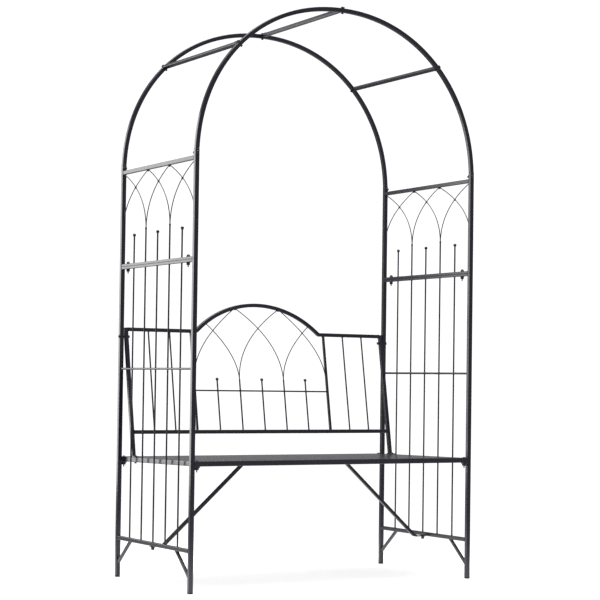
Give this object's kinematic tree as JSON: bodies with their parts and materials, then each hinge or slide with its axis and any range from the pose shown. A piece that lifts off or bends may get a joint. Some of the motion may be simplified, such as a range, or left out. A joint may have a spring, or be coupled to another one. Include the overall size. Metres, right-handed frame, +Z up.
{
  "type": "garden bench arch",
  "caption": "Charcoal metal garden arch with trellis sides, a double arched roof, a slatted bench seat and a leaning lattice backrest.",
  "frame": {"origin": "on the floor, under the middle of the overall box", "axes": "+X along the bench to the sitter's left, -Y to the front where the seat opens, +Z up"},
  "size_m": [1.1716, 0.6129, 2.0511],
  "materials": {
    "powder_coated_steel": "satin charcoal powder coat",
    "fastener": "black zinc",
    "foot_cap": "matt black"
  },
  "bodies": {
    "root": {"lower_post_front_left": "powder_coated_steel", "upper_post_front_left": "powder_coated_steel", "lower_post_front_right": "powder_coated_steel", "upper_post_front_right": "powder_coated_steel", "lower_post_rear_left": "powder_coated_steel", "upper_post_rear_left": "powder_coated_steel", "lower_post_rear_right": "powder_coated_steel", "upper_post_rear_right": "powder_coated_steel", "arch_front": "powder_coated_steel", "arch_rear": "powder_coated_steel", "purlin_left": "powder_coated_steel", "purlin_crown": "powder_coated_steel", "purlin_right": "powder_coated_steel", "bottom_rail_left": "powder_coated_steel", "lower_side_grille_left": "powder_coated_steel", "upper_side_grille_left": "powder_coated_steel", "seat_end_rail_left": "powder_coated_steel", "seat_brace_left": "powder_coated_steel", "backrest_upright_left": "powder_coated_steel", "bottom_rail_right": "powder_coated_steel", "lower_side_grille_right": "powder_coated_steel", "upper_side_grille_right": "powder_coated_steel", "seat_end_rail_right": "powder_coated_steel", "seat_brace_right": "powder_coated_steel", "backrest_upright_right": "powder_coated_steel", "seat_front_rail": "powder_coated_steel", "seat_rear_rail": "powder_coated_steel", "seat_slat_deck": "powder_coated_steel", "backrest_top_rail": "powder_coated_steel", "backrest_grille": "powder_coated_steel", "foot_cap_front_left": "foot_cap", "foot_cap_front_right": "foot_cap", "foot_cap_rear_left": "foot_cap", "foot_cap_rear_right": "foot_cap", "arch_leg_bolt_front_left": "fastener", "arch_leg_bolt_front_right": "fastener", "panel_bolt_front_left": "fastener", "panel_bolt_front_right": "fastener", "seat_bolt_front_left": "fastener", "seat_bolt_front_right": "fastener", "purlin_bolt_front_left": "fastener", "purlin_bolt_front_crown": "fastener", "purlin_bolt_front_right": "fastener", "arch_leg_bolt_rear_left": "fastener", "arch_leg_bolt_rear_right": "fastener", "panel_bolt_rear_left": "fastener", "panel_bolt_rear_right": "fastener", "seat_bolt_rear_left": "fastener", "seat_bolt_rear_right": "fastener", "purlin_bolt_rear_left": "fastener", "purlin_bolt_rear_crown": "fastener", "purlin_bolt_rear_right": "fastener", "brace_foot_screw_left": "fastener", "brace_top_screw_left": "fastener", "backrest_post_bolt_left": "fastener", "backrest_foot_bolt_left": "fastener", "brace_foot_screw_right": "fastener", "brace_top_screw_right": "fastener", "backrest_post_bolt_right": "fastener", "backrest_foot_bolt_right": "fastener"}
  },
  "joints": []
}
